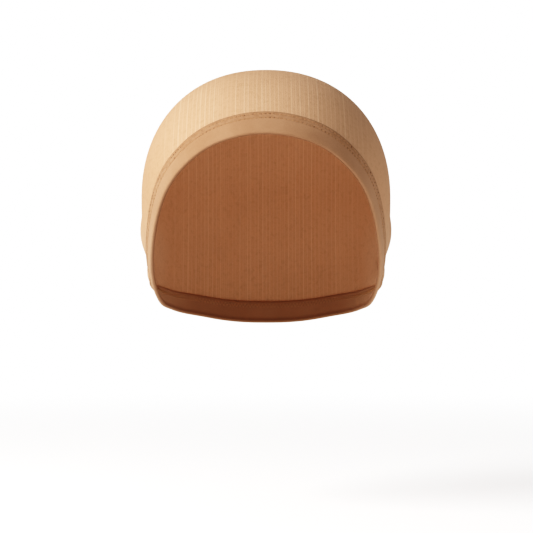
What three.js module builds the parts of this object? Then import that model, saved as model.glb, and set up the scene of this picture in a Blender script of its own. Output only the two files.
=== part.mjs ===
// A wig cap in the form that it takes when it is worn: a thin stretch-knit crown, and the doubled
// binding that frames the face opening, passes under the ear lobes and closes round the nape.
// Lengths are in millimetres. The face opening looks along -Y, and +Z is up.
// The origin is the inside of the crown's top, where the cap sits.

import * as THREE from 'three';

// The head space inside the cap, measured from its widest level
const HALF_BREADTH = 79.6;
const FRONT_REACH = 102;
const BACK_REACH = 91;
const DOME_RISE = 82.8;
const TAPER_DROP = 113;

// How square the head space is, where 2 is an ellipse: seen from above, and seen from the front
const PLAN_FULLNESS = 2.1;
const PROFILE_FULLNESS = 2.2;

// The cloth
const CROWN_WALL = 1;
const BAND_WIDTH = 16.5;
const BAND_SIDE_WIDTH = 12.5;
const BAND_LAYER = 0.8;
const BAND_FOLD_RADIUS = 1.2;
const SEAM_LAP = 6;
const CLEARANCE = 0.3;

// The crown's pole leans back from the vertical, so that it faces away from the face opening
const POLE_LEAN_DEGREES = 40;

// The face edge, from the middle of the forehead round one side to the nape.
// around: degrees round the pole from the forehead. down: degrees down from the pole.
const FACE_EDGE = [
  { around: 0, down: 108.8 },
  { around: 20, down: 110.4 },
  { around: 36, down: 114.0 },
  { around: 48, down: 117.3 },
  { around: 60, down: 121.4 },
  { around: 76, down: 125.8 },
  { around: 90, down: 127.2 },
  { around: 104, down: 126.4 },
  { around: 116, down: 124.6 },
  { around: 125, down: 120.6 },
  { around: 138, down: 112.0 },
  { around: 156, down: 103.2 },
  { around: 180, down: 100.0 },
];

// The swell over each ear. back and deep are shares of BACK_REACH, below and tall of TAPER_DROP,
// both from the widest level, and proud is a share of EAR_RELIEF.
const EAR_RELIEF = 2.4;
const EAR_SWELLS = [
  { place: 'upper ear', back: 0.12, deep: 0.2, below: 0.19, tall: 0.17, proud: 0.7 },
  { place: 'back of the ear', back: 0.22, deep: 0.13, below: 0.3, tall: 0.2, proud: 0.6 },
  { place: 'ear lobe', back: 0.05, deep: 0.16, below: 0.44, tall: 0.1, proud: 1 },
];

// How finely the cloth is faceted
const COLUMNS = 72;
const CROWN_ROWS = 20;
const FOLD_STEPS = 4;
const SLOPE_STEP = 0.05;

const poleLean = THREE.MathUtils.degToRad(POLE_LEAN_DEGREES);
const pole = new THREE.Vector3(0, Math.sin(poleLean), Math.cos(poleLean));
const forehead = new THREE.Vector3(0, -Math.cos(poleLean), Math.sin(poleLean));
const sideways = new THREE.Vector3(1, 0, 0);

// Relief of the ears at a point of the head space
function earRelief(point) {
  let relief = 0;
  for (const swell of EAR_SWELLS) {
    const along = (point.y / BACK_REACH - swell.back) / swell.deep;
    const upright = (point.z / TAPER_DROP + swell.below) / swell.tall;
    const nearness = Math.max(0, 1 - along ** 2 - upright ** 2);
    relief += swell.proud * EAR_RELIEF * nearness ** 2;
  }
  return relief;
}

// Distance from the middle of the head space to its surface, in one direction
function reach(direction) {
  const across = Math.abs(direction.x) / HALF_BREADTH;
  const along = Math.abs(direction.y) / (direction.y < 0 ? FRONT_REACH : BACK_REACH);
  const upright = Math.abs(direction.z) / (direction.z > 0 ? DOME_RISE : TAPER_DROP);
  const plan = (across ** PLAN_FULLNESS + along ** PLAN_FULLNESS) ** (1 / PLAN_FULLNESS);
  const level = plan ** PROFILE_FULLNESS + upright ** PROFILE_FULLNESS;
  const smooth = level ** (-1 / PROFILE_FULLNESS);
  return smooth + earRelief(direction.clone().multiplyScalar(smooth));
}

// How far out a point lies, where 1 is on the surface
function outwardness(point) {
  return point.length() / reach(point.clone().normalize());
}

// Outward direction of the surface at a point
function outward(point) {
  const slope = new THREE.Vector3();
  for (const axis of ['x', 'y', 'z']) {
    const ahead = point.clone();
    const behind = point.clone();
    ahead[axis] += SLOPE_STEP;
    behind[axis] -= SLOPE_STEP;
    slope[axis] = outwardness(ahead) - outwardness(behind);
  }
  return slope.normalize();
}

// A point of the surface in a direction, raised by lift
function onHead(direction, lift) {
  const unit = direction.clone().normalize();
  const point = unit.clone().multiplyScalar(reach(unit));
  return point.addScaledVector(outward(point), lift);
}

// A point of the surface given as degrees round the pole and down from it
function atDegrees(around, down) {
  const turn = THREE.MathUtils.degToRad(around);
  const fall = THREE.MathUtils.degToRad(down);
  const direction = pole.clone().multiplyScalar(Math.cos(fall));
  direction.addScaledVector(forehead, Math.sin(fall) * Math.cos(turn));
  direction.addScaledVector(sideways, Math.sin(fall) * Math.sin(turn));
  return onHead(direction, 0);
}

// The face edge as one closed curve, the second side mirrored from the first
function faceEdgeCurve() {
  const oneSide = FACE_EDGE.map((row) => atDegrees(row.around, row.down));
  const otherSide = FACE_EDGE.slice(1, -1).map((row) => atDegrees(-row.around, row.down));
  return new THREE.CatmullRomCurve3([...oneSide, ...otherSide.reverse()], true);
}

// How wide the band is at a point of the face edge: its full width at the forehead and the nape,
// and its side width half way between them
function bandWidthAt(place) {
  const toForehead = place.dot(forehead);
  const sideShare = place.x ** 2 / (place.x ** 2 + toForehead ** 2);
  return BAND_WIDTH + (BAND_SIDE_WIDTH - BAND_WIDTH) * sideShare;
}

// One entry for each column of facets: its place on the face edge, the way up the cloth from it,
// and the band's width there
function edgeColumns() {
  const curve = faceEdgeCurve();
  const columns = [];
  for (let column = 0; column < COLUMNS; column += 1) {
    const place = onHead(curve.getPointAt(column / COLUMNS), 0);
    const run = curve.getTangentAt(column / COLUMNS);
    const up = new THREE.Vector3().crossVectors(run, outward(place)).normalize();
    if (up.dot(pole) < 0) up.negate();
    columns.push({ place, up, width: bandWidthAt(place) });
  }
  return columns;
}

const columns = edgeColumns();

// A row of points round the cap, raised by lift. share is how far up the band it lies, from 0 at the
// face edge to 1 at the band's upper edge, and more is a length added to that.
function rowOnBand(share, more, lift) {
  return columns.map(({ place, up, width }) => {
    return onHead(place.clone().addScaledVector(up, share * width + more), lift);
  });
}

// A row of points round the cap, a share of the way down from the pole to the band's upper edge
function rowBelowPole(share, lift) {
  return rowOnBand(1, 0, 0).map((rim) => {
    const direction = rim.normalize();
    const fall = pole.angleTo(direction);
    const point = pole.clone().multiplyScalar(Math.sin((1 - share) * fall));
    return onHead(point.addScaledVector(direction, Math.sin(share * fall)), lift);
  });
}

// A closed body from rows of points. A row of one point is a pole, and a looped list of rows joins
// its last row to its first. Each square of the grid is split along its shorter diagonal, so that
// walls that lie along each other keep their distance.
function bodyFromRows(rows, looped) {
  const points = rows.flat();
  const starts = [];
  let count = 0;
  for (const row of rows) {
    starts.push(count);
    count += row.length;
  }
  const vertex = (row, column) => starts[row] + (column % rows[row].length);
  const faces = [];
  const addFace = (a, b, c) => {
    if (a !== b && b !== c && c !== a) faces.push(a, b, c);
  };
  const bands = looped ? rows.length : rows.length - 1;
  for (let row = 0; row < bands; row += 1) {
    const next = (row + 1) % rows.length;
    for (let column = 0; column < COLUMNS; column += 1) {
      const [a, b] = [vertex(row, column), vertex(next, column)];
      const [c, d] = [vertex(next, column + 1), vertex(row, column + 1)];
      if (points[a].distanceTo(points[c]) < points[b].distanceTo(points[d])) {
        addFace(a, b, c);
        addFace(a, c, d);
      } else {
        addFace(a, b, d);
        addFace(b, c, d);
      }
    }
  }
  const geometry = new THREE.BufferGeometry().setFromPoints(points);
  geometry.setIndex(faces);
  geometry.computeVertexNormals();
  return geometry;
}

// One face of the crown's wall, from the pole down to the cut edge inside the band
function crownFace(lift) {
  const rows = [[onHead(pole, lift)]];
  for (let row = 1; row < CROWN_ROWS; row += 1) rows.push(rowBelowPole(row / CROWN_ROWS, lift));
  rows.push(rowOnBand(1, 0, lift));
  rows.push(rowOnBand(1, -SEAM_LAP, lift));
  return rows;
}

function crownGeometry() {
  return bodyFromRows([...crownFace(CROWN_WALL), ...crownFace(0).reverse()], false);
}

// The band's section as a closed outline: down the outer layer, round the fold at the face edge, up
// the inner layer, and round the slot that holds the crown's cut edge. share, more and lift are as in
// rowOnBand.
function bandSection() {
  const slot = { outer: CROWN_WALL + CLEARANCE, inner: -CLEARANCE };
  const face = { outer: slot.outer + BAND_LAYER, inner: slot.inner - BAND_LAYER };
  const slotDepth = SEAM_LAP + CLEARANCE;
  const outline = [];
  outline.push({ share: 1, more: 0, lift: face.outer });
  outline.push({ share: 1, more: -SEAM_LAP, lift: face.outer });
  for (let step = 0; step <= FOLD_STEPS; step += 1) {
    const turn = Math.PI * (0.5 - step / FOLD_STEPS);
    const height = BAND_FOLD_RADIUS * (1 - Math.cos(turn));
    outline.push({ share: 0, more: height, lift: CROWN_WALL / 2 + BAND_FOLD_RADIUS * Math.sin(turn) });
  }
  outline.push({ share: 1, more: -SEAM_LAP, lift: face.inner });
  outline.push({ share: 1, more: 0, lift: face.inner });
  outline.push({ share: 1, more: 0, lift: slot.inner });
  outline.push({ share: 1, more: -SEAM_LAP, lift: slot.inner });
  outline.push({ share: 1, more: -slotDepth, lift: slot.inner });
  outline.push({ share: 1, more: -slotDepth, lift: slot.outer });
  outline.push({ share: 1, more: -SEAM_LAP, lift: slot.outer });
  outline.push({ share: 1, more: 0, lift: slot.outer });
  return outline;
}

function bandGeometry() {
  return bodyFromRows(bandSection().map(({ share, more, lift }) => rowOnBand(share, more, lift)), true);
}

function piece(name, geometry, color, roughness) {
  const material = new THREE.MeshStandardMaterial({ color, roughness, metalness: 0 });
  const mesh = new THREE.Mesh(geometry, material);
  mesh.name = name;
  return mesh;
}

const wigCap = new THREE.Group();
const worn = new THREE.Group();
worn.position.z = -DOME_RISE;
worn.add(piece('crown', crownGeometry(), 0xdebb93, 0.85));
worn.add(piece('band', bandGeometry(), 0xc2986f, 0.8));
wigCap.add(worn);

export default wigCap;
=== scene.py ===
# %% [markdown]
# # A wig cap in knitted cloth
#
# A wig cap is a thin stretch-knit cap that holds the hair flat under a wig. This one keeps the form
# that it takes when it is worn: a finely ribbed crown, and a doubled band that frames the face opening,
# passes under the ear lobes and closes round the nape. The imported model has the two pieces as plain
# smooth solids. This script loads them as a fixed frame and dresses them: the crown becomes a thin
# ribbed sheet, the band a folded strip of finer knit, and the seam gets its stitches.

# %% Load the frame
import math

import bmesh
import bpy
import numpy as np
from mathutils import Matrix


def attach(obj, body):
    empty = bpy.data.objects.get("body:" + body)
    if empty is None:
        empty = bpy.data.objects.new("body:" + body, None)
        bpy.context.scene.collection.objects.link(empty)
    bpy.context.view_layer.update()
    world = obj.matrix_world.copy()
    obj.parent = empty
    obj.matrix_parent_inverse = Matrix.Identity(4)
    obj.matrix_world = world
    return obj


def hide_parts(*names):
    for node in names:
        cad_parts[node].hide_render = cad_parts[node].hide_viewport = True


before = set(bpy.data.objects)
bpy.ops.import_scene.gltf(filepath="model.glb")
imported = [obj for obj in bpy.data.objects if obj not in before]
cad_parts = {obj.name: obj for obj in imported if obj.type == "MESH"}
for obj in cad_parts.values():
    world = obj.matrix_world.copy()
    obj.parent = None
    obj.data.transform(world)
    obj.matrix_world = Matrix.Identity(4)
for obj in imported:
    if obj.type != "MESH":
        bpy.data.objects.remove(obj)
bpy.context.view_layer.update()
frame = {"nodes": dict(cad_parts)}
MM = 0.001
print("solids to dress:", ", ".join(frame["nodes"]))

# %% [markdown]
# ## The camera
#
# The camera comes first, so that every look at the work is through the photograph's own view: level,
# a little below the widest part of the cap and 1.2 m in front of it, where a long lens flattens the
# perspective. The lens is worked out from how large one metre at the cap stands in the picture.

# %% Camera
PICTURE_WIDTH = 533
PIXELS_PER_METRE = 1538.5
CAMERA_DISTANCE = 1.2
CAMERA_DROP = 125.8 * MM
CAMERA_ASIDE = 0.35 * MM
SENSOR_WIDTH = 36

camera_data = bpy.data.cameras.new("camera")
camera_data.sensor_width = SENSOR_WIDTH
camera_data.lens = SENSOR_WIDTH * PIXELS_PER_METRE * CAMERA_DISTANCE / PICTURE_WIDTH
camera = bpy.data.objects.new("camera", camera_data)
camera.location = (CAMERA_ASIDE, -CAMERA_DISTANCE, -CAMERA_DROP)
camera.rotation_euler = (math.radians(90), 0, 0)
bpy.context.scene.collection.objects.link(camera)
bpy.context.scene.camera = camera
print("lens in mm:", round(camera_data.lens, 1))

# %% [markdown]
# ## The form of the head
#
# The cap has no form of its own: it takes the head's. A head could be sculpted, but two rounded
# profiles say enough, and every later piece can ask the same formula for a point of the surface and
# for the way out of it. The form is a superellipsoid, which is an ellipsoid whose roundness can be
# set: it has one size for each way out of its middle, and the ears are low swells laid over it.

# %% Sizes of the head
HALF_BREADTH = 79.6 * MM
FRONT_REACH = 102 * MM
BACK_REACH = 91 * MM
DOME_RISE = 82.8 * MM
TAPER_DROP = 113 * MM
PLAN_FULLNESS = 2.1
PROFILE_FULLNESS = 2.2
SLOPE_STEP = 0.05 * MM

EAR_RELIEF = 2.4 * MM
EAR_SWELLS = [
    {"place": "upper ear", "back": 0.12, "deep": 0.2, "below": 0.2, "tall": 0.18, "proud": 1.25},
    {"place": "back of the ear", "back": 0.22, "deep": 0.13, "below": 0.3, "tall": 0.2, "proud": 0.6},
    {"place": "ear lobe", "back": 0.05, "deep": 0.16, "below": 0.435, "tall": 0.105, "proud": 1.25},
]

# The crown's pole leans back, so that it faces away from the face opening
POLE_LEAN = math.radians(40)
POLE = np.array((0, math.sin(POLE_LEAN), math.cos(POLE_LEAN)))
FOREHEAD = np.array((0, -math.cos(POLE_LEAN), math.sin(POLE_LEAN)))
SIDEWAYS = np.array((1.0, 0, 0))
HEAD_MIDDLE = np.array((0, 0, -DOME_RISE))


# %% Points of the head
def lengths(vectors):
    """The length of each vector, one to a row."""
    return np.linalg.norm(vectors, axis=-1, keepdims=True)


def travelled_to(points):
    """How far along the line through the points each of them lies."""
    return np.concatenate(([0], np.cumsum(lengths(np.diff(points, axis=0))[:, 0])))


def ear_relief(points):
    """How far the ears stand out at each point."""
    relief = np.zeros(len(points))
    for swell in EAR_SWELLS:
        along = (points[:, 1] / BACK_REACH - swell["back"]) / swell["deep"]
        upright = (points[:, 2] / TAPER_DROP + swell["below"]) / swell["tall"]
        nearness = np.maximum(0, 1 - along**2 - upright**2)
        relief += swell["proud"] * EAR_RELIEF * nearness**2
    return relief


def smooth_reach(directions):
    """How far the head without ears lies from its middle, in each direction."""
    across = np.abs(directions[:, 0]) / HALF_BREADTH
    along = np.abs(directions[:, 1]) / np.where(directions[:, 1] < 0, FRONT_REACH, BACK_REACH)
    upright = np.abs(directions[:, 2]) / np.where(directions[:, 2] > 0, DOME_RISE, TAPER_DROP)
    plan = (across**PLAN_FULLNESS + along**PLAN_FULLNESS) ** (1 / PLAN_FULLNESS)
    return (plan**PROFILE_FULLNESS + upright**PROFILE_FULLNESS) ** (-1 / PROFILE_FULLNESS)


def reach(directions):
    """How far the head with its ears lies from its middle, in each direction."""
    smooth = smooth_reach(directions)
    return smooth + ear_relief(directions * smooth[:, None])


def outwardness(points):
    """How far out each point lies, where 1 is on the surface."""
    away = lengths(points)
    return away[:, 0] / reach(points / away)


def outward(points):
    """The way out of the surface at each point."""
    slope = np.zeros_like(points)
    for axis in range(3):
        step = np.zeros(3)
        step[axis] = SLOPE_STEP
        slope[:, axis] = outwardness(points + step) - outwardness(points - step)
    return slope / lengths(slope)


def on_head(points, lift):
    """Points carried out to the surface and raised by lift, and the ways out of it there."""
    directions = points / lengths(points)
    surface = directions * reach(directions)[:, None]
    out = outward(surface)
    return surface + out * np.reshape(lift, (-1, 1)), out


top, _ = on_head(np.array([[0, 0, 1.0]]), 0)
print("top of the head in mm:", np.round((top[0] + HEAD_MIDDLE) / MM, 2))

# %% [markdown]
# ## The face edge
#
# The band's fold is the edge that the eye follows, from the forehead past the ear lobes to the nape.
# It is given as a few points, in degrees round the crown's pole and down from it. A spline through
# them would do in Blender's curve editor too. Here it is worked out in code, because the band, its
# stitches and the crown's hidden cut edge are all laid off from it, a few millimetres up the cloth.

# %% The face edge as a closed curve
FACE_EDGE = [
    {"around": 0, "down": 108.8},
    {"around": 20, "down": 110.4},
    {"around": 36, "down": 114.0},
    {"around": 48, "down": 117.3},
    {"around": 60, "down": 121.4},
    {"around": 76, "down": 125.8},
    {"around": 90, "down": 127.2},
    {"around": 104, "down": 126.4},
    {"around": 116, "down": 124.6},
    {"around": 125, "down": 120.6},
    {"around": 138, "down": 112.0},
    {"around": 156, "down": 103.2},
    {"around": 180, "down": 100.0},
]
STEPS_BETWEEN = 60


def at_degrees(around, down):
    """The direction that lies so many degrees round the pole from the forehead, and down from the pole."""
    turn, fall = math.radians(around), math.radians(down)
    direction = POLE * math.cos(fall)
    direction = direction + FOREHEAD * math.sin(fall) * math.cos(turn)
    return direction + SIDEWAYS * math.sin(fall) * math.sin(turn)


def smooth_loop(corners):
    """A closed curve through the corners that keeps its swing small where they lie close together."""
    before, after = np.roll(corners, 1, axis=0), np.roll(corners, -1, axis=0)
    beyond = np.roll(corners, -2, axis=0)
    pace_in = np.sqrt(lengths(corners - before))
    pace = np.sqrt(lengths(after - corners))
    pace_out = np.sqrt(lengths(beyond - after))
    speed_in = (corners - before) / pace_in
    speed = (after - corners) / pace
    speed_out = (beyond - after) / pace_out
    leave = (speed_in - (after - before) / (pace_in + pace) + speed) * pace
    arrive = (speed - (beyond - corners) / (pace + pace_out) + speed_out) * pace
    curve = []
    for share in np.arange(STEPS_BETWEEN) / STEPS_BETWEEN:
        square, cube = share**2, share**3
        curve.append(
            corners * (1 - 3 * square + 2 * cube)
            + after * (3 * square - 2 * cube)
            + leave * (share - 2 * square + cube)
            + arrive * (cube - square)
        )
    return np.stack(curve, axis=1).reshape(-1, 3)


def spread_evenly(loop, count):
    """Points of the loop at even distances, count of them."""
    closed = np.vstack((loop, loop[:1]))
    travelled = travelled_to(closed)
    stops = np.arange(count) / count * travelled[-1]
    return np.stack([np.interp(stops, travelled, closed[:, axis]) for axis in range(3)], axis=1)


mirrored = [{"around": -row["around"], "down": row["down"]} for row in FACE_EDGE[-2:0:-1]]
edge_corners = np.array([at_degrees(row["around"], row["down"]) for row in FACE_EDGE + mirrored])
face_edge = smooth_loop(on_head(edge_corners, 0)[0])
edge_length = float(lengths(face_edge - np.roll(face_edge, 1, axis=0)).sum())
print("length of the face edge in mm:", round(edge_length / MM, 1))

# %% [markdown]
# The band is a strip of its own knit, wider at the forehead and the nape than under the ears. Each
# column of the cloth stands on the face edge and runs up the head at a right angle to it. The same
# columns serve the band, both rows of stitches and the place where the crown is cut.

# %% Columns of cloth that stand on the face edge
BAND_WIDTH = 15.9 * MM
BAND_SIDE_WIDTH = 12.5 * MM
SEAM_LAP = 6.8 * MM
STITCH_PITCH = 2.3 * MM
COLUMNS_A_STITCH = 4

stitch_count = round(edge_length / STITCH_PITCH)
stitch_length = edge_length / stitch_count
column_count = stitch_count * COLUMNS_A_STITCH


class Columns:
    """Columns of cloth round the cap: where each stands, which way is up the cloth, and its width."""

    def __init__(self, count):
        self.place, out = on_head(spread_evenly(face_edge, count), 0)
        run = np.roll(self.place, -1, axis=0) - np.roll(self.place, 1, axis=0)
        self.run = run / lengths(run)
        up = np.cross(self.run, out)
        up *= np.sign(up @ POLE)[:, None]
        self.up = up / lengths(up)
        to_forehead = self.place @ FOREHEAD
        side_share = self.place[:, 0] ** 2 / (self.place[:, 0] ** 2 + to_forehead**2)
        self.width = BAND_WIDTH + (BAND_SIDE_WIDTH - BAND_WIDTH) * side_share

    def row(self, share, more, lift):
        """A row round the cap: share of the band's width up from the fold, and a length on top."""
        height = share * self.width + more
        return on_head(self.place + self.up * height[:, None], lift)


columns = Columns(column_count)
print("stitches in a row:", stitch_count, "each", round(stitch_length / MM, 2), "mm")

# %% [markdown]
# ## Writing node trees
#
# A material and a modifier tree are both made of nodes, and most of them do small sums. Written out
# one by one they hide what they work out. The two classes below let a sum be written as a sum: each
# operator on a Value adds one Math node, and add() makes any other node, with its settings first,
# because a setting can change which sockets the node has.


# %% Sums
class Value:
    """A number that flows through a node tree."""

    def __init__(self, nodes, socket):
        self.nodes = nodes
        self.socket = socket

    def __add__(self, other):
        return self.nodes.sum("ADD", self, other)

    def __sub__(self, other):
        return self.nodes.sum("SUBTRACT", self, other)

    def __mul__(self, other):
        return self.nodes.sum("MULTIPLY", self, other)

    def __truediv__(self, other):
        return self.nodes.sum("DIVIDE", self, other)

    def __pow__(self, other):
        return self.nodes.sum("POWER", self, other)

    def __radd__(self, other):
        return self.nodes.sum("ADD", other, self)

    def __rsub__(self, other):
        return self.nodes.sum("SUBTRACT", other, self)

    def __rmul__(self, other):
        return self.nodes.sum("MULTIPLY", other, self)

    def absolute(self):
        return self.nodes.sum("ABSOLUTE", self)

    def cosine(self):
        return self.nodes.sum("COSINE", self)

    def whole(self):
        return self.nodes.sum("FLOOR", self)

    def wave(self):
        """A wave between 0 and 1 that peaks where this number is whole."""
        return (self * math.tau).cosine() * 0.5 + 0.5

    def ease(self, start, end):
        """0 before start and 1 after end, with a soft passage between."""
        settings = {"interpolation_type": "SMOOTHSTEP"}
        sockets = {"Value": self, "From Min": start, "From Max": end}
        return Value(self.nodes, self.nodes.add("ShaderNodeMapRange", settings, sockets).outputs[0])


# %% Other nodes
class Nodes:
    """A node tree that is being written."""

    def __init__(self, tree):
        self.tree = tree

    def add(self, kind, settings, sockets):
        """A node of any kind: settings by name, then sockets by name or number."""
        node = self.tree.nodes.new(kind)
        for name, setting in settings.items():
            setattr(node, name, setting)
        for key, content in sockets.items():
            if isinstance(content, (Value, bpy.types.NodeSocket)):
                link = content.socket if isinstance(content, Value) else content
                self.tree.links.new(link, node.inputs[key])
            else:
                node.inputs[key].default_value = content
        return node

    def sum(self, operation, *numbers):
        node = self.add("ShaderNodeMath", {"operation": operation}, dict(enumerate(numbers)))
        return Value(self, node.outputs[0])

    def noise(self, place, scale, detail, seed):
        """Cloudy noise between about 0 and 1 through space. The seed moves to another part of it."""
        settings = {"noise_dimensions": "4D"}
        sockets = {"Vector": place, "W": seed, "Scale": scale, "Detail": detail}
        return Value(self, self.add("ShaderNodeTexNoise", settings, sockets).outputs[0])

    def random(self, number):
        """A random number between 0 and 1 that belongs to a number."""
        settings = {"noise_dimensions": "1D"}
        return Value(self, self.add("ShaderNodeTexWhiteNoise", settings, {"W": number}).outputs["Value"])

    def kept(self, name):
        """The number that the mesh keeps at each point under a name."""
        return Value(self, self.add("ShaderNodeAttribute", {"attribute_name": name}, {}).outputs["Fac"])

    def mix(self, kind, share, first, second):
        settings = {"data_type": "RGBA", "blend_type": kind}
        return self.add("ShaderNodeMix", settings, {0: share, 6: first, 7: second}).outputs[2]

    def blend(self, share, first, second):
        """A colour between two colours."""
        return self.mix("MIX", share, first, second)

    def tint(self, share, colour, tint):
        """A colour multiplied by a tint, by a share."""
        return self.mix("MULTIPLY", share, colour, tint)

    def parts(self, vector):
        """The three numbers of a vector."""
        split = self.add("ShaderNodeSeparateXYZ", {}, {"Vector": vector})
        return [Value(self, socket) for socket in split.outputs]

    def place(self):
        """Where a point lies on the object."""
        return self.add("ShaderNodeTexCoord", {}, {}).outputs["Object"]

    def place_on_cloth(self):
        """How far a point lies across and along the flat cloth, from its UV map."""
        return self.parts(self.add("ShaderNodeUVMap", {"uv_map": "cloth"}, {}).outputs[0])[:2]


# %% [markdown]
# A modifier tree gets its sizes from outside, so that one tree can serve pieces of different sizes.
# A modifier could be left on its piece, but the export wants plain mesh. So each piece is settled once
# its modifiers have done their work.


# %% Modifier trees
def new_shaping_tree(name, inputs):
    """A Geometry Nodes tree with one geometry in and out, and named inputs as (name, type) pairs."""
    tree = bpy.data.node_groups.new(name, "GeometryNodeTree")
    tree.interface.new_socket("Geometry", in_out="INPUT", socket_type="NodeSocketGeometry")
    for label, kind in inputs:
        tree.interface.new_socket(label, in_out="INPUT", socket_type=kind)
    tree.interface.new_socket("Geometry", in_out="OUTPUT", socket_type="NodeSocketGeometry")
    nodes = Nodes(tree)
    entry = nodes.add("NodeGroupInput", {}, {})
    return nodes, entry.outputs


def close_shaping_tree(nodes, shape, finish):
    """Ends a tree in real mesh with its finish on it."""
    realized = nodes.add("GeometryNodeRealizeInstances", {}, {"Geometry": shape})
    sockets = {"Geometry": realized.outputs[0], "Material": finish}
    finished = nodes.add("GeometryNodeSetMaterial", {}, sockets)
    nodes.add("NodeGroupOutput", {}, {"Geometry": finished.outputs[0]})
    return nodes.tree


def put_on(piece, tree, values):
    """A modifier that runs the tree, with its inputs set by the sockets' identifiers."""
    modifier = piece.modifiers.new(tree.name, "NODES")
    modifier.node_group = tree
    for item in tree.interface.items_tree:
        if item.in_out == "INPUT" and item.name in values:
            modifier[item.identifier] = values[item.name]


def new_piece(name, mesh):
    piece = bpy.data.objects.new(name, mesh)
    bpy.context.scene.collection.objects.link(piece)
    return piece


def settle(piece):
    """Turns what the modifiers make into the piece's own plain mesh, and takes them off."""
    graph = bpy.context.evaluated_depsgraph_get()
    mesh = bpy.data.meshes.new_from_object(piece.evaluated_get(graph), depsgraph=graph)
    piece.modifiers.clear()
    piece.data = mesh
    mesh.name = piece.name
    if "sharp_face" in mesh.attributes:
        mesh.attributes.remove(mesh.attributes["sharp_face"])
    mesh.calc_loop_triangles()
    print(piece.name, "has", len(mesh.loop_triangles), "triangles")


# %% [markdown]
# ## The finishes
#
# Both cloths are fine nylon knits, matte with a soft sheen. Close to, a knit is rows of small loops,
# far too many to model one by one, so the loops are bump and a fine speckle of light and dark. What is
# larger than a loop, such as the ribs, the fold, the needle holes and the thread, is real shape.
#
# The colour is warm tan, and it tells how the cloth is held. It is lighter on the ribs, where the yarn
# lies bare, than in the grooves. It is paler where the cloth is stretched most, over the ears and at
# the band's sides, because the loops open there. The band also carries painted shade: a painted shadow
# just below its upper edge, painted shade along the seam's strip, blotchy where the seam puckers, and
# painted shade at the fold. The needle holes are painted dark as the shade inside them, and drawn
# unevenly, because the thread pulls at some harder than at others.

# %% Colours, and how a finish starts
SHEEN_TINT = (1.0, 0.84, 0.68, 1)
SHEEN_ROUGHNESS = 0.5
SPECULAR_LEVEL = 0.2
DARK_SPECKLE = (0.80, 0.76, 0.70, 1)
LOOP_WIDTH = 0.65 * MM
LOOP_HEIGHT = 0.8 * MM
LOOP_LEAN = 0.35
WALE_SHARE = 0.45


def new_finish(name, roughness, sheen):
    """A cloth finish with its constants set, ready for a colour and a bump."""
    finish = bpy.data.materials.new(name)
    finish.use_nodes = True
    nodes = Nodes(finish.node_tree)
    surface = finish.node_tree.nodes["Principled BSDF"]
    surface.inputs["Roughness"].default_value = roughness
    surface.inputs["Sheen Weight"].default_value = sheen
    surface.inputs["Sheen Roughness"].default_value = SHEEN_ROUGHNESS
    surface.inputs["Sheen Tint"].default_value = SHEEN_TINT
    surface.inputs["Specular IOR Level"].default_value = SPECULAR_LEVEL
    return finish, nodes, surface


def raise_bump(nodes, surface, height, depth):
    """Bump from a height of 0 to 1 that stands for a depth in metres."""
    sockets = {"Strength": 1.0, "Distance": depth, "Height": height}
    bump = nodes.add("ShaderNodeBump", {}, sockets)
    nodes.tree.links.new(bump.outputs[0], surface.inputs["Normal"])


def knit_loops(across, along, loop_width):
    """Height of the loops: each leans against its neighbour in a small V, course upon course."""
    wale = (across / loop_width).wave()
    lean = (across / loop_width * 2).wave() * LOOP_LEAN
    course = (along / LOOP_HEIGHT + lean).wave()
    return wale * WALE_SHARE + course * (1 - WALE_SHARE)


# %% [markdown]
# ### The crown's knit
#
# A picture of knit could be wrapped round the crown, but it would stretch and show a join. Here the
# colour is worked out at each point instead. The shape of the ribs, which is made further down, is kept
# on the mesh under the name ridge, so that the light tone lies exactly on the ribs. Three noises of
# different sizes break it up: single loops, bunches of loops, and the broad patches of worn cloth.

# %% Crown finish
RIBBED_REACH = 63 * MM
CROWN_SIDE = 72 * MM
EAR_HEIGHTS = (-118 * MM, -85 * MM)
CROWN_RIDGE = (0.855, 0.61, 0.425, 1)
CROWN_GROOVE = (0.745, 0.492, 0.32, 1)
CROWN_STRETCHED = (0.775, 0.545, 0.375, 1)
CROWN_SPECKLE = 0.75
CROWN_GRAIN = 0.35
GRAIN_RANGE = (0.45, 0.75)
CROWN_PATCHES = 0.2
PATCH_RANGE = (0.35, 0.75)
CROWN_BUMP = 0.12 * MM


def crown_finish():
    """The ribbed knit of the crown, with plain fine knit at the sides."""
    finish, nodes, surface = new_finish("crown_knit", roughness=0.85, sheen=0.06)
    place = nodes.place()
    across, along = nodes.place_on_cloth()
    aside, _, upright = nodes.parts(place)
    side = aside.absolute().ease(RIBBED_REACH, CROWN_SIDE)
    over_ear = side * (1 - upright.ease(*EAR_HEIGHTS))
    speckle = nodes.noise(place, scale=900, detail=2, seed=3)
    grain = nodes.noise(place, scale=330, detail=3, seed=6)
    patches = nodes.noise(place, scale=22, detail=2, seed=8)
    fuzz = nodes.noise(place, scale=1400, detail=0, seed=9)
    colour = nodes.blend(nodes.kept("ridge") * (grain + speckle), CROWN_GROOVE, CROWN_RIDGE)
    colour = nodes.blend(over_ear, colour, CROWN_STRETCHED)
    colour = nodes.tint((speckle - 0.3) * CROWN_SPECKLE, colour, DARK_SPECKLE)
    colour = nodes.tint(grain.ease(*GRAIN_RANGE) * CROWN_GRAIN, colour, DARK_SPECKLE)
    colour = nodes.tint(patches.ease(*PATCH_RANGE) * CROWN_PATCHES, colour, DARK_SPECKLE)
    nodes.tree.links.new(colour, surface.inputs["Base Color"])
    loops = knit_loops(across, along, LOOP_WIDTH) * (1 - side) + side * fuzz
    raise_bump(nodes, surface, loops * 0.5 + speckle * 0.5, CROWN_BUMP)
    return finish


crown_knit = crown_finish()
print("finish:", crown_knit.name)
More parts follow.
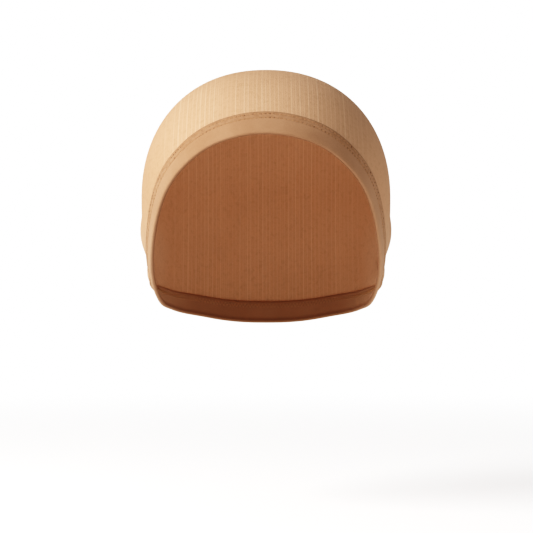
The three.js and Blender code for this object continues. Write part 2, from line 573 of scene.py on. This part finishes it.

# %% [markdown]
# ### The band's knit
#
# The band's finish is laid out by two lengths: how far down from the band's upper edge a point lies,
# which its UV map tells, and how high above the fold, which the mesh keeps under the name above_fold.
# The painted shade of the seam's strip, the painted shadow along the upper lip and the painted shade
# at the fold are then plain ranges of those lengths. The needle holes, painted dark as shade, lie one
# stitch apart in two rows. Their places could be painted by hand, but a remainder after division finds
# them all.

# %% Needle holes
NEEDLE_ROWS = (2.1 * MM, 5.2 * MM)
NEEDLE_ROW_SHARES = (0.85, 0.65)
HOLE_REACH = (0.25 * MM, 0.8 * MM)
HOLE_WANDER = 1.2 * MM
PULLED_STRETCHES = (0.36, 0.58)
PULLED_HOLES = (0.3, 0.55)


def needle_holes(nodes, run, down, place):
    """Near 1 in the needle holes, which lie one stitch apart in two rows and differ in strength."""
    stitch = run / stitch_length + 0.5
    along = (stitch - stitch.whole() - 0.5) * stitch_length
    wander = (nodes.noise(place, scale=500, detail=1, seed=13) - 0.5) * HOLE_WANDER
    stretch = nodes.noise(place, scale=75, detail=2, seed=2).ease(*PULLED_STRETCHES)
    each = nodes.noise(place, scale=400, detail=0, seed=15).ease(*PULLED_HOLES)
    holes = 0
    for row, share in zip(NEEDLE_ROWS, NEEDLE_ROW_SHARES):
        aside = down - row + wander
        near = 1 - ((along * along + aside * aside) ** 0.5).ease(*HOLE_REACH)
        holes = near * share + holes
    return holes * stretch * each


# %% Band finish
BAND_SIDES = (45 * MM, 72 * MM)
LOW_SIDES = (-125 * MM, -85 * MM)
UPPER_LIP = (0.3 * MM, 1.3 * MM)
SEAM_STRIP = (NEEDLE_ROWS[1], NEEDLE_ROWS[1] + 0.8 * MM)
FOLD_TURN = (-0.7 * MM, 1.1 * MM)
INSIDE_FOLD = (-6 * MM, -2.5 * MM)
BAND_TAN = (0.52, 0.318, 0.195, 1)
BAND_LIGHT = (0.56, 0.352, 0.222, 1)
BAND_STRETCHED = (0.66, 0.445, 0.30, 1)
# The shade colours below are painted shade: along the seam's strip, just below the upper edge and at the
# fold.
BAND_PAINTED_SHADE = (0.42, 0.238, 0.132, 1)
FOLD_PAINTED_SHADE = (0.30, 0.145, 0.075, 1)
NEEDLE_HOLE_PAINTED_SHADE = (0.16, 0.075, 0.035, 1)
BAND_SPECKLE = 0.7
BAND_PATCH_RANGE = (0.3, 0.7)
PUCKER_RANGE = (0.42, 0.66)
SEAM_PAINTED_SHADE = 0.05
PUCKER_PAINTED_SHADE = 0.35
LIP_PAINTED_SHADOW = 0.7
PAINTED_FOLD_DEPTH = 0.8
INNER_LAYER_PAINTED_SHADE = 0.35
HOLE_BUMP = 0.6
BAND_BUMP = 0.1 * MM


def band_finish():
    """The plain knit of the band, with its needle holes and painted shade at the seam, the upper edge and
    the fold.
    """
    finish, nodes, surface = new_finish("band_knit", roughness=0.8, sheen=0.08)
    place = nodes.place()
    run, down = nodes.place_on_cloth()
    aside, _, upright = nodes.parts(place)
    above_fold = nodes.kept("above_fold")
    speckle = nodes.noise(place, scale=1100, detail=2, seed=5)
    patches = nodes.noise(place, scale=60, detail=2, seed=11)
    pucker_shade = nodes.noise(place, scale=420, detail=1, seed=12).ease(*PUCKER_RANGE)
    holes = needle_holes(nodes, run, down, place)
    stretched = aside.absolute().ease(*BAND_SIDES) * (1 - 0.5 * upright.ease(*LOW_SIDES))
    # Painted shade along the seam's strip: a faint even darkening, blotchy where the seam puckers.
    seam = (1 - down.ease(*SEAM_STRIP)) * (SEAM_PAINTED_SHADE + PUCKER_PAINTED_SHADE * pucker_shade)
    # Painted shadow along the band's upper edge, in a thin line just below it.
    upper_edge_painted_shadow = (1 - down.ease(*UPPER_LIP)) * LIP_PAINTED_SHADOW
    # Painted shade at the fold: deepest on its turn and fainter up the inner layer.
    painted_fold_reach = INNER_LAYER_PAINTED_SHADE + (1 - INNER_LAYER_PAINTED_SHADE) * above_fold.ease(*INSIDE_FOLD)
    fold = (1 - above_fold.ease(*FOLD_TURN)) * painted_fold_reach * PAINTED_FOLD_DEPTH
    colour = nodes.blend(patches.ease(*BAND_PATCH_RANGE), BAND_TAN, BAND_LIGHT)
    colour = nodes.blend(stretched, colour, BAND_STRETCHED)
    colour = nodes.blend(seam, colour, BAND_PAINTED_SHADE)
    colour = nodes.blend(upper_edge_painted_shadow, colour, BAND_PAINTED_SHADE)
    colour = nodes.blend(fold, colour, FOLD_PAINTED_SHADE)
    colour = nodes.tint((speckle - 0.35) * BAND_SPECKLE, colour, DARK_SPECKLE)
    # The needle holes are painted near-black, as the shade inside them.
    colour = nodes.blend(holes, colour, NEEDLE_HOLE_PAINTED_SHADE)
    nodes.tree.links.new(colour, surface.inputs["Base Color"])
    loops = knit_loops(run, down, edge_length / round(edge_length / LOOP_WIDTH))
    raise_bump(nodes, surface, loops * 0.5 + speckle * 0.5 - holes * HOLE_BUMP, BAND_BUMP)
    return finish


band_knit = band_finish()
print("finish:", band_knit.name)

# %% [markdown]
# ### The thread
#
# Sewing thread is spun from fibres, so it is a little paler and glossier than the knit, and never quite
# even. At its real thickness nobody can see the fibres one by one, and a fine noise is enough.

# %% Thread finish
THREAD_TAN = (0.60, 0.37, 0.205, 1)
THREAD_SPECKLE = 0.6
THREAD_BUMP = 0.05 * MM


def thread_finish():
    """Spun thread: a little paler than the band and twisted."""
    finish, nodes, surface = new_finish("seam_thread", roughness=0.7, sheen=0.2)
    fibre = nodes.noise(nodes.place(), scale=3000, detail=1, seed=4)
    colour = nodes.tint((fibre - 0.3) * THREAD_SPECKLE, THREAD_TAN, DARK_SPECKLE)
    nodes.tree.links.new(colour, surface.inputs["Base Color"])
    raise_bump(nodes, surface, fibre, THREAD_BUMP)
    return finish


seam_thread = thread_finish()
print("finish:", seam_thread.name)

# %% [markdown]
# ## The crown
#
# The crown is one piece of knit whose ribs run from the forehead over the top to the nape, each in an
# upright plane. A sphere-like grid would cut across the ribs and break them up. So the grid follows
# them: each column of the mesh lies in a plane at one distance from the middle of the head, and its
# rows are spread evenly along it. Over the ears the planes no longer reach the cut edge, so there the
# columns are closed rings that shrink to a point.

# %% Where the crown is cut
CROWN_CLOTH = 0.8 * MM
CROWN_MIDDLE_LIFT = 0.5 * MM


def round_sideways(points):
    """Each point as its place across the head without ears and its turn from straight down to front."""
    directions = points / lengths(points)
    smooth = directions * smooth_reach(directions)[:, None]
    turn = np.unwrap(np.arctan2(-smooth[:, 1], -smooth[:, 2]))
    return smooth[:, 0], turn


cut_edge = columns.row(1, -SEAM_LAP, 0)[0]
cut_across, cut_turn = round_sideways(cut_edge[: column_count // 2 + 1])
under_ear = int(np.argmax(cut_across))
cut_reach = float(cut_across[under_ear])
print("the cut edge reaches", round(cut_reach / MM, 1), "mm to each side")

# %% [markdown]
# ### Columns and rows
#
# A rib needs about eight columns to look round, so the columns stand close together where the ribs are
# and wider apart where the cloth is plain. At the side of the head even steps across would lie far
# apart on the surface, because it turns away there. So the steps are even in the size of the section
# instead, which is a share of the middle one and falls to nothing at the side.

# %% The crown's columns
RIBBED_SPACING = 0.325 * MM
PLAIN_SPACING = 1.1 * MM
EAR_SPACING = 2.4 * MM


def round_partner(share):
    """The other leg of the plan's rounded outline, where both are shares of their full length."""
    return (1 - share**PLAN_FULLNESS) ** (1 / PLAN_FULLNESS)


def column_places():
    """How far across each column lies, on one side, from the middle out to the side of the head."""
    ribbed = np.arange(0, RIBBED_REACH, RIBBED_SPACING)
    section_at_ribs = round_partner(RIBBED_REACH / HALF_BREADTH)
    section_at_cut = round_partner(cut_reach / HALF_BREADTH)
    plain_steps = round((section_at_ribs - section_at_cut) * BACK_REACH / PLAIN_SPACING)
    ear_steps = round(section_at_cut * BACK_REACH / EAR_SPACING)
    plain = HALF_BREADTH * round_partner(np.linspace(section_at_ribs, section_at_cut, plain_steps + 1))
    rings = HALF_BREADTH * round_partner(np.linspace(section_at_cut, 0, ear_steps + 1))
    return np.concatenate((ribbed, plain, rings[1:]))


one_side = column_places()
crown_across = np.concatenate((-one_side[:0:-1], one_side))
print("the crown has", len(crown_across), "columns")

# %% The crown's rows
CROWN_ROWS = 72
SECTION_STEPS = 240
HALVINGS = 40


def section_radius(across, turn):
    """How far the section at across lies from its middle, at each turn."""
    forward = np.abs(np.sin(turn)) / np.where(np.sin(turn) > 0, FRONT_REACH, BACK_REACH)
    upright = np.abs(np.cos(turn)) / np.where(np.cos(turn) < 0, DOME_RISE, TAPER_DROP)
    inset = (across / HALF_BREADTH) ** PLAN_FULLNESS
    low, high = np.zeros_like(turn), np.full_like(turn, 2 * TAPER_DROP)
    for _ in range(HALVINGS):
        middle = (low + high) / 2
        plan = (inset + (middle * forward) ** PLAN_FULLNESS) ** (PROFILE_FULLNESS / PLAN_FULLNESS)
        outside = plan + (middle * upright) ** PROFILE_FULLNESS > 1
        high = np.where(outside, middle, high)
        low = np.where(outside, low, middle)
    return (low + high) / 2


def section_points(across, turn):
    radius = section_radius(across, turn)
    return np.stack((np.full_like(turn, across), -radius * np.sin(turn), -radius * np.cos(turn)), axis=1)


def crown_column(across):
    """One column of the crown from front to back, and how far each point is from the top."""
    front = np.interp(across, cut_across[: under_ear + 1], cut_turn[: under_ear + 1])
    back = np.interp(across, cut_across[under_ear:][::-1], cut_turn[under_ear:][::-1]) + math.tau
    turn = np.linspace(front, back, SECTION_STEPS)
    travelled = travelled_to(section_points(across, turn))
    even = np.linspace(0, travelled[-1], CROWN_ROWS + 1)
    from_top = even - np.interp(math.pi, turn, travelled)
    return section_points(across, np.interp(even, travelled, turn)), from_top


crown_grid, crown_along = [], []
for across in crown_across:
    points, along = crown_column(abs(across))
    crown_grid.append(points * (np.sign(across) or 1, 1, 1))
    crown_along.append(along)
print("each column has", CROWN_ROWS + 1, "points")

# %% [markdown]
# ### Cloth from a grid
#
# Both cloths are sheets, so one helper makes a mesh from any grid of points. The UV map holds each
# point's place on the cloth in metres, which keeps the size of the knit's loops true. Points that fall
# together are merged, all faces are turned outwards, and only then does the sheet get its wall.

# %% Cloth from a grid of points
MERGE_DISTANCE = 0.002 * MM


def cloth_mesh(name, grid, marks, kept):
    """A mesh from a grid of points: its UV is the place on the cloth, and kept holds more by name."""
    wide, tall = grid.shape[:2]
    corner = np.arange(wide * tall).reshape(wide, tall)
    faces = np.stack((corner[:-1, :-1], corner[1:, :-1], corner[1:, 1:], corner[:-1, 1:]), axis=-1)
    faces = faces.reshape(-1, 4)
    mesh = bpy.data.meshes.new(name)
    mesh.from_pydata(grid.reshape(-1, 3).tolist(), [], faces.tolist())
    layer = mesh.uv_layers.new(name="cloth")
    layer.data.foreach_set("uv", marks.reshape(-1, 2)[faces.reshape(-1)].reshape(-1))
    for key, numbers in kept.items():
        mesh.attributes.new(key, "FLOAT", "POINT").data.foreach_set("value", numbers.reshape(-1))
    work = bmesh.new()
    work.from_mesh(mesh)
    bmesh.ops.remove_doubles(work, verts=work.verts, dist=MERGE_DISTANCE)
    bmesh.ops.recalc_face_normals(work, faces=work.faces)
    for face in work.faces:
        face.smooth = True
    work.to_mesh(mesh)
    work.free()
    return mesh


def give_thickness(piece, thickness):
    """A wall for a sheet, half of it to each side."""
    wall = piece.modifiers.new("cloth wall", "SOLIDIFY")
    wall.thickness = thickness
    wall.offset = 0


# %% The crown's sheet
crown_points = np.array(crown_grid)
crown_marks = np.stack(np.broadcast_arrays(crown_across[:, None], np.array(crown_along)), axis=-1)
raised = on_head(crown_points.reshape(-1, 3), CROWN_MIDDLE_LIFT)[0] + HEAD_MIDDLE
crown_mesh = cloth_mesh("crown_cloth", raised.reshape(crown_points.shape), crown_marks, {})
crown_cloth = new_piece("crown_cloth", crown_mesh)
print("corners of the crown's sheet:", len(crown_mesh.vertices))

# %% [markdown]
# ### The ribs
#
# A rib is a line of knit that stands a little higher than the cloth beside it. Modelling each one
# would be slow, and a texture alone would leave the outline smooth. A small modifier tree raises the
# cloth by a wave across the head. Ribs differ because the cloth was pulled on by hand, so each gets a
# strength of its own and lies a little off its even place, with finer and fainter ribs between. The
# pitch widens towards the sides, where the cloth is stretched most, until the ribs fade out there, and
# over the top they lie flatter. The tree also keeps each point's height under the name ridge, for the
# finish to read.


# %% Rib tree
RIB_SHARPNESS = 7
WEAKEST_RIB = 0.2
STRENGTH_SPREAD = 1.3
RIB_SHIFT = 0.3
RIB_WANDER = 0.2
FINE_RIB = 0.35
WORN_RIB = 0.45
FRESH_RIB = 1.1
TOP_HEIGHTS = (-20 * MM, -3 * MM)
TOP_FLATNESS = 0.4


def rib_tree():
    sizes = ("Rib Pitch", "Rib Height", "Fade From", "Fade To", "Widening", "Seed")
    inputs = [(name, "NodeSocketFloat") for name in sizes]
    nodes, given = new_shaping_tree("knit ribs", [*inputs, ("Knit", "NodeSocketMaterial")])
    value = {name: Value(nodes, given[name]) for name in sizes}
    seed = value["Seed"]
    place = nodes.add("GeometryNodeInputPosition", {}, {}).outputs[0]
    across, _, upright = nodes.parts(place)
    wander = (nodes.noise(place, scale=25, detail=1, seed=seed) - 0.5) * RIB_WANDER
    outness = across / value["Fade To"]
    count = across / value["Rib Pitch"] * (1 - value["Widening"] * outness * outness) + wander
    number = (count + 0.5).whole()
    strength = WEAKEST_RIB + (1 - WEAKEST_RIB) * nodes.random(number + seed) ** STRENGTH_SPREAD
    shift = (nodes.random(number + seed * 3) - 0.5) * RIB_SHIFT
    fine_strength = nodes.random((count * 2 + 0.5).whole() - seed) * FINE_RIB
    main_ribs = (count - number + shift).wave() ** RIB_SHARPNESS * strength
    fine_ribs = (count * 2).wave() ** 2 * fine_strength
    patchy = WORN_RIB + FRESH_RIB * nodes.noise(place, scale=70, detail=3, seed=seed + 4)
    fade = 1 - across.absolute().ease(value["Fade From"], value["Fade To"])
    flatter = 1 - TOP_FLATNESS * upright.ease(*TOP_HEIGHTS)
    ridge = (main_ribs + fine_ribs) * patchy * fade * flatter
    out = nodes.add("GeometryNodeInputNormal", {}, {}).outputs[0]
    sockets = {"Vector": out, "Scale": ridge * value["Rib Height"]}
    lift = nodes.add("ShaderNodeVectorMath", {"operation": "SCALE"}, sockets)
    sockets = {"Geometry": given["Geometry"], "Offset": lift.outputs[0]}
    raised = nodes.add("GeometryNodeSetPosition", {}, sockets)
    kept = nodes.add(
        "GeometryNodeStoreNamedAttribute",
        {"data_type": "FLOAT", "domain": "POINT"},
        {"Geometry": raised.outputs[0], "Name": "ridge", "Value": ridge},
    )
    return close_shaping_tree(nodes, kept.outputs[0], given["Knit"])


# %% Raise the ribs
put_on(
    crown_cloth,
    rib_tree(),
    {
        "Rib Pitch": 2.6 * MM,
        "Rib Height": 0.075 * MM,
        "Fade From": 50 * MM,
        "Fade To": 70 * MM,
        "Widening": 0.055,
        "Seed": 7.0,
        "Knit": crown_knit,
    },
)
give_thickness(crown_cloth, CROWN_CLOTH)
settle(crown_cloth)

# %% [markdown]
# ## The band
#
# The band is a strip of plain knit folded in two over the crown's cut edge: an outer layer, a round
# fold at the face edge and an inner layer. A swept rectangle would look like a rubber seal. So the
# strip is one open sheet, bent into a narrow U at every column and given a wall afterwards. Where the
# seam runs, the thread pulls it down to the crown, deepest at the needle holes, and between the two
# rows and below them it puffs up again. Each point keeps its height above the fold under the name
# above_fold, so that the finish can tell the two layers and the fold apart.

# %% Section of the band
BAND_CLOTH = 0.55 * MM
OUTER_LIFT = 1.5 * MM
INNER_LIFT = -0.4 * MM
FOLD_FLATNESS = 0.65
FOLD_STEPS = 10
SEAM_TRACE = (0.4, 0.8, 1.25, 1.7, 2.1, 2.5, 2.95, 3.4, 3.9, 4.4, 4.85, 5.2, 5.55, 6.0, 6.6, 7.3)
PLAIN_SHARES = 8


def band_rows():
    """The section from the outer layer's upper edge, round the fold, to the inner layer's."""
    fold_radius = (OUTER_LIFT - INNER_LIFT) / 2
    rows = []
    for trace in SEAM_TRACE:
        rows.append({"share": 1, "more": -trace * MM, "side": "outer"})
    for step in range(1, PLAIN_SHARES):
        share = 1 - step / PLAIN_SHARES
        rows.append({"share": share, "more": -SEAM_TRACE[-1] * MM * share, "side": "outer"})
    for step in range(FOLD_STEPS + 1):
        turn = math.pi * (0.5 - step / FOLD_STEPS)
        lift = INNER_LIFT + fold_radius * (1 + math.sin(turn))
        height = FOLD_FLATNESS * fold_radius * (1 - math.cos(turn))
        rows.append({"share": 0, "more": height, "side": "fold", "lift": lift})
    for step in range(1, PLAIN_SHARES + 1):
        rows.append({"share": step / PLAIN_SHARES, "more": 0, "side": "inner"})
    return rows


print("the band's section has", len(band_rows()), "points")

# %% Where the seam holds the cloth down
SEWN_LIFT = 1.35 * MM
PINCH_REACH = 0.55 * MM
UPPER_EDGE_HOLD = 0.9
HOLE_DEPTH = 0.2 * MM
HOLE_LENGTH = 0.3 * MM
FOLD_PUFF = 0.18 * MM
FOLD_PUFF_HEIGHT = 2.34 * MM
FOLD_PUFF_REACH = 1.8 * MM

is_hole = np.where(np.arange(column_count) % COLUMNS_A_STITCH == 0, 1.0, 0.0)


def hump(away, reach):
    """1 where away is 0, dying off over a reach."""
    return np.exp(-((away / reach) ** 2))


def outer_layer_lift(below):
    """How high the outer layer lies, at each distance below its upper edge."""
    needles = sum(hump(below - row, PINCH_REACH) for row in NEEDLE_ROWS)
    upper_edge = UPPER_EDGE_HOLD * hump(below - SEAM_TRACE[0] * MM, PINCH_REACH)
    held = np.minimum(1, needles + upper_edge)
    holes = sum(hump(below - row, HOLE_LENGTH) for row in NEEDLE_ROWS) * is_hole
    puff = hump(columns.width - below - FOLD_PUFF_HEIGHT, FOLD_PUFF_REACH)
    return OUTER_LIFT + (SEWN_LIFT - OUTER_LIFT) * held - HOLE_DEPTH * holes + FOLD_PUFF * puff


print("needle holes in a row:", int(is_hole.sum()))

# %% The band's sheet
band_grid, band_marks, band_heights = [], [], []
run_mark = np.arange(column_count + 1) / column_count * edge_length
for row in band_rows():
    if row["side"] == "outer":
        down = (1 - row["share"]) * columns.width - row["more"]
        above_fold = columns.width - down
        points = columns.row(row["share"], row["more"], outer_layer_lift(down))[0]
    else:
        lift = row.get("lift", INNER_LIFT)
        points = columns.row(row["share"], row["more"], lift)[0]
        down = down + lengths(points - previous)[:, 0]
        if row["side"] == "fold":
            above_fold = np.full(column_count, lift - (OUTER_LIFT + INNER_LIFT) / 2)
        else:
            above_fold = INNER_LIFT - OUTER_LIFT - row["share"] * columns.width
    previous = points
    band_grid.append(np.vstack((points, points[:1])) + HEAD_MIDDLE)
    band_marks.append(np.stack((run_mark, np.append(down, down[0])), axis=-1))
    band_heights.append(np.append(above_fold, above_fold[0]))

kept_heights = {"above_fold": np.array(band_heights)}
band_mesh = cloth_mesh("band_cloth", np.array(band_grid), np.array(band_marks), kept_heights)
band_cloth = new_piece("band_cloth", band_mesh)
band_mesh.materials.append(band_knit)
give_thickness(band_cloth, BAND_CLOTH)
settle(band_cloth)

# %% [markdown]
# ## The seam
#
# A seam that has to stretch is sewn with two needles and a looper. Outside it shows two rows of short
# straight stitches, each diving into a needle hole. Inside, one thread zigzags between the rows. Each
# stitch outside is the same small arc, so it is made once and set on a point for every stitch, turned
# to the run of the seam and the way out of the cloth. The looper is one long thread: a tube along a path.

# %% Stitch tree
THREAD_RADIUS = 0.16 * MM
THREAD_SIDES = 6
STITCH_STEPS = 6
STITCH_SHARE = 0.86
STITCH_RISE = 0.22 * MM
STITCH_DIP = 0.2
SMALLEST_STITCH = (0.9, 0.85, 0.7)
LARGEST_STITCH = (1.04, 1.15, 1.2)


def thread_along(nodes, path, radius, closed_ends):
    """A round thread along a path."""
    sides = {"Resolution": THREAD_SIDES, "Radius": radius}
    section = nodes.add("GeometryNodeCurvePrimitiveCircle", {}, sides)
    sockets = {"Curve": path, "Profile Curve": section.outputs[0], "Fill Caps": closed_ends}
    return nodes.add("GeometryNodeCurveToMesh", {}, sockets).outputs[0]


def stitch_tree():
    nodes, given = new_shaping_tree(
        "seam stitches",
        [
            ("Stitch Length", "NodeSocketFloat"),
            ("Stitch Rise", "NodeSocketFloat"),
            ("Thread Radius", "NodeSocketFloat"),
            ("Seed", "NodeSocketInt"),
            ("Thread", "NodeSocketMaterial"),
        ],
    )
    half = Value(nodes, given["Stitch Length"]) * 0.5
    start = nodes.add("ShaderNodeCombineXYZ", {}, {"X": half * -1, "Z": half * -STITCH_DIP})
    middle = nodes.add("ShaderNodeCombineXYZ", {}, {"Z": Value(nodes, given["Stitch Rise"]) * 2})
    end = nodes.add("ShaderNodeCombineXYZ", {}, {"X": half, "Z": half * -STITCH_DIP})
    corners = {"Start": start.outputs[0], "Middle": middle.outputs[0], "End": end.outputs[0]}
    arc = nodes.add("GeometryNodeCurveQuadraticBezier", {}, {"Resolution": STITCH_STEPS, **corners})
    stitch = thread_along(nodes, arc.outputs[0], given["Thread Radius"], True)
    run = nodes.add("GeometryNodeInputNamedAttribute", {"data_type": "FLOAT_VECTOR"}, {"Name": "run"})
    out = nodes.add("GeometryNodeInputNamedAttribute", {"data_type": "FLOAT_VECTOR"}, {"Name": "out"})
    facing = nodes.add(
        "FunctionNodeAxesToRotation",
        {"primary_axis": "X", "secondary_axis": "Z"},
        {"Primary Axis": run.outputs[0], "Secondary Axis": out.outputs[0]},
    )
    uneven = nodes.add(
        "FunctionNodeRandomValue",
        {"data_type": "FLOAT_VECTOR"},
        {0: SMALLEST_STITCH, 1: LARGEST_STITCH, "Seed": given["Seed"]},
    )
    stitches = nodes.add(
        "GeometryNodeInstanceOnPoints",
        {},
        {
            "Points": given["Geometry"],
            "Instance": stitch,
            "Rotation": facing.outputs[0],
            "Scale": uneven.outputs[0],
        },
    )
    return close_shaping_tree(nodes, stitches.outputs[0], given["Thread"])


# %% Two rows of stitches
def seam_points(name, rows):
    """Points on the seam that know the run of the seam and the way out of the cloth."""
    mesh = bpy.data.meshes.new(name)
    mesh.from_pydata((np.vstack([row["place"] for row in rows]) + HEAD_MIDDLE).tolist(), [], [])
    for key in ("run", "out"):
        kept = mesh.attributes.new(key, "FLOAT_VECTOR", "POINT")
        kept.data.foreach_set("vector", np.vstack([row[key] for row in rows]).reshape(-1))
    return new_piece(name, mesh)


half_stitch = COLUMNS_A_STITCH // 2
seam_rows = []
for needle in NEEDLE_ROWS:
    place, out = columns.row(1, -needle, SEWN_LIFT + BAND_CLOTH / 2)
    between = slice(half_stitch, None, COLUMNS_A_STITCH)
    seam_rows.append({"place": place[between], "run": columns.run[between], "out": out[between]})
band_stitches = seam_points("band_stitches", seam_rows)
put_on(
    band_stitches,
    stitch_tree(),
    {
        "Stitch Length": stitch_length * STITCH_SHARE,
        "Stitch Rise": STITCH_RISE,
        "Thread Radius": THREAD_RADIUS,
        "Seed": 5,
        "Thread": seam_thread,
    },
)
settle(band_stitches)

# %% Looper thread inside
LOOPER_LIFT = INNER_LIFT - BAND_CLOTH / 2 - 0.6 * THREAD_RADIUS


def looper_tree():
    inputs = [("Thread Radius", "NodeSocketFloat"), ("Thread", "NodeSocketMaterial")]
    nodes, given = new_shaping_tree("looper thread", inputs)
    path = nodes.add("GeometryNodeMeshToCurve", {}, {"Mesh": given["Geometry"]})
    thread = thread_along(nodes, path.outputs[0], given["Thread Radius"], False)
    return close_shaping_tree(nodes, thread, given["Thread"])


def looper_path():
    """The zigzag between the needle rows, on the inner layer: over and back once a stitch."""
    stitches = np.arange(column_count) / COLUMNS_A_STITCH
    swing = 0.5 - 0.5 * np.cos(math.tau * stitches)
    below = NEEDLE_ROWS[0] + (NEEDLE_ROWS[1] - NEEDLE_ROWS[0]) * swing
    height = columns.width - below
    return on_head(columns.place + columns.up * height[:, None], LOOPER_LIFT)[0] + HEAD_MIDDLE


looper_corners = looper_path()
looper_mesh = bpy.data.meshes.new("looper_thread")
looper_links = [(index, (index + 1) % column_count) for index in range(column_count)]
looper_mesh.from_pydata(looper_corners.tolist(), looper_links, [])
looper_thread = new_piece("looper_thread", looper_mesh)
put_on(looper_thread, looper_tree(), {"Thread Radius": THREAD_RADIUS, "Thread": seam_thread})
settle(looper_thread)

# %% [markdown]
# ## The set
#
# The light is a plain studio's: a large soft window on the left, and pale warm surroundings, brighter
# below than above, that fill the shade. A large light makes the slow passage from light to dark that
# shows the head's roundness. A small second light stands low behind on the right, and gives the dark
# side a soft rim that parts it from the background. The floor is a pale sheet far below the cap. It
# takes the cap's soft shadow, and away from the middle it turns to plain white, so that it has no edge.

# %% Light
WINDOW = {"power": 15.2, "size": 0.8, "turn": math.radians(-57), "height": math.radians(32)}
RIM_LIGHT = {"power": 2.6, "size": 0.5, "turn": math.radians(118), "height": math.radians(-12)}
LIGHT_AWAY = 1.5


def hang_light(name, power, size, turn, height):
    """A round soft light at a turn from the front and a height above the cap, aimed at the cap."""
    light = bpy.data.lights.new(name, "AREA")
    light.shape = "DISK"
    light.size = size
    light.energy = power
    holder = bpy.data.objects.new(name, light)
    aside, forward = math.sin(turn) * math.cos(height), -math.cos(turn) * math.cos(height)
    toward = np.array((aside, forward, math.sin(height)))
    holder.location = HEAD_MIDDLE + toward * LIGHT_AWAY
    holder.rotation_euler = (math.pi / 2 - height, 0, turn)
    bpy.context.scene.collection.objects.link(holder)
    return holder


window = hang_light("window", **WINDOW)
hang_light("rim light", **RIM_LIGHT)
print("window at", [round(value, 2) for value in window.location])

# %% Background
FILL_ABOVE = 0.25
FILL_BELOW = 0.72
FILL_PASSAGE = (-0.6, 0.4)
FILL_TINT = (1.0, 0.925, 0.885, 1)

world = bpy.data.worlds.new("studio")
world.use_nodes = True
world.node_tree.nodes.clear()
world_nodes = Nodes(world.node_tree)
seen = world_nodes.add("ShaderNodeBackground", {}, {"Color": (1, 1, 1, 1), "Strength": 1.0})
way = world_nodes.add("ShaderNodeTexCoord", {}, {}).outputs["Generated"]
height = world_nodes.parts(way)[2]
strength = FILL_BELOW + (FILL_ABOVE - FILL_BELOW) * height.ease(*FILL_PASSAGE)
fill = world_nodes.add("ShaderNodeBackground", {}, {"Color": FILL_TINT, "Strength": strength})
path = world_nodes.add("ShaderNodeLightPath", {}, {})
both = world_nodes.add(
    "ShaderNodeMixShader", {}, {0: path.outputs["Is Camera Ray"], 1: fill.outputs[0], 2: seen.outputs[0]}
)
world_nodes.add("ShaderNodeOutputWorld", {}, {"Surface": both.outputs[0]})
bpy.context.scene.world = world

# %% Floor
FLOOR_DROP = 286 * MM
FLOOR_SIZE = 30
FLOOR_GREY = 0.9
FLOOR_GLOW = 0.5
FLOOR_FADE = (0.35, 1.2)


def floor_finish():
    """A pale sheet that turns to plain white away from the middle."""
    finish = bpy.data.materials.new("pale floor")
    finish.use_nodes = True
    finish.node_tree.nodes.clear()
    nodes = Nodes(finish.node_tree)
    aside, along, _ = nodes.parts(nodes.place())
    distance = (aside * aside + along * along) ** 0.5
    sheet = nodes.add("ShaderNodeBsdfDiffuse", {}, {"Color": (FLOOR_GREY, FLOOR_GREY, FLOOR_GREY, 1)})
    glow = nodes.add("ShaderNodeEmission", {}, {"Strength": FLOOR_GLOW})
    lit = nodes.add("ShaderNodeAddShader", {}, {0: sheet.outputs[0], 1: glow.outputs[0]})
    white = nodes.add("ShaderNodeEmission", {}, {"Strength": 1.0})
    shaders = {0: distance.ease(*FLOOR_FADE), 1: lit.outputs[0], 2: white.outputs[0]}
    mix = nodes.add("ShaderNodeMixShader", {}, shaders)
    nodes.add("ShaderNodeOutputMaterial", {}, {"Surface": mix.outputs[0]})
    return finish


half_floor = FLOOR_SIZE / 2
floor_corners = [
    (-half_floor, -half_floor, -FLOOR_DROP),
    (half_floor, -half_floor, -FLOOR_DROP),
    (half_floor, half_floor, -FLOOR_DROP),
    (-half_floor, half_floor, -FLOOR_DROP),
]
floor_mesh = bpy.data.meshes.new("floor")
floor_mesh.from_pydata(floor_corners, [], [(0, 1, 2, 3)])
floor_mesh.materials.append(floor_finish())
floor = new_piece("floor", floor_mesh)
floor.visible_diffuse = False
floor.visible_glossy = False
print("the floor lies", round(FLOOR_DROP / MM), "mm below the top of the cap")

# %% [markdown]
# ## The picture's contrast
#
# A product photograph is printed with more contrast than the eye's view: its shades are deeper and
# richer in colour, and its lights paler. Tinting the lamps would colour the floor as well. A contrast
# curve on the finished picture does it for every colour alike, in an S that starts slowly, climbs
# steeply through the middle and flattens towards white.

# %% Contrast curve
CURVE_STEEPNESS = 1.7
CURVE_MIDDLE = 0.5
CURVE_STOPS = (0.04, 0.1, 0.18, 0.28, 0.4, 0.55, 0.75)
ALL_COLOURS = 3


def film(light):
    """What a light value becomes in the picture, where 1 stays 1."""
    middle = CURVE_MIDDLE**CURVE_STEEPNESS
    return light**CURVE_STEEPNESS * (1 + middle) / (light**CURVE_STEEPNESS + middle)


look = bpy.context.scene.view_settings
look.view_transform = "Standard"
look.use_curve_mapping = True
curve = look.curve_mapping.curves[ALL_COLOURS]
for stop in CURVE_STOPS:
    curve.points.new(stop, film(stop))
look.curve_mapping.update()
print("middle grey 0.18 becomes", round(film(0.18), 3))

# %% [markdown]
# ## Into the frame
#
# Each piece is tied to the frame's root. The crown and the band take the place of their solids, which
# are hidden. Knit is stretched over the head, so both cloths were cut smaller than what they cover. The
# thread rides along.

for piece, node, slot in (
    (crown_cloth, "crown", "crown_knit"),
    (band_cloth, "band", "band_knit"),
    (band_stitches, None, "band_knit"),
    (looper_thread, None, "band_knit"),
):
    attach(piece, "root")
    if node:
        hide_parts(node)
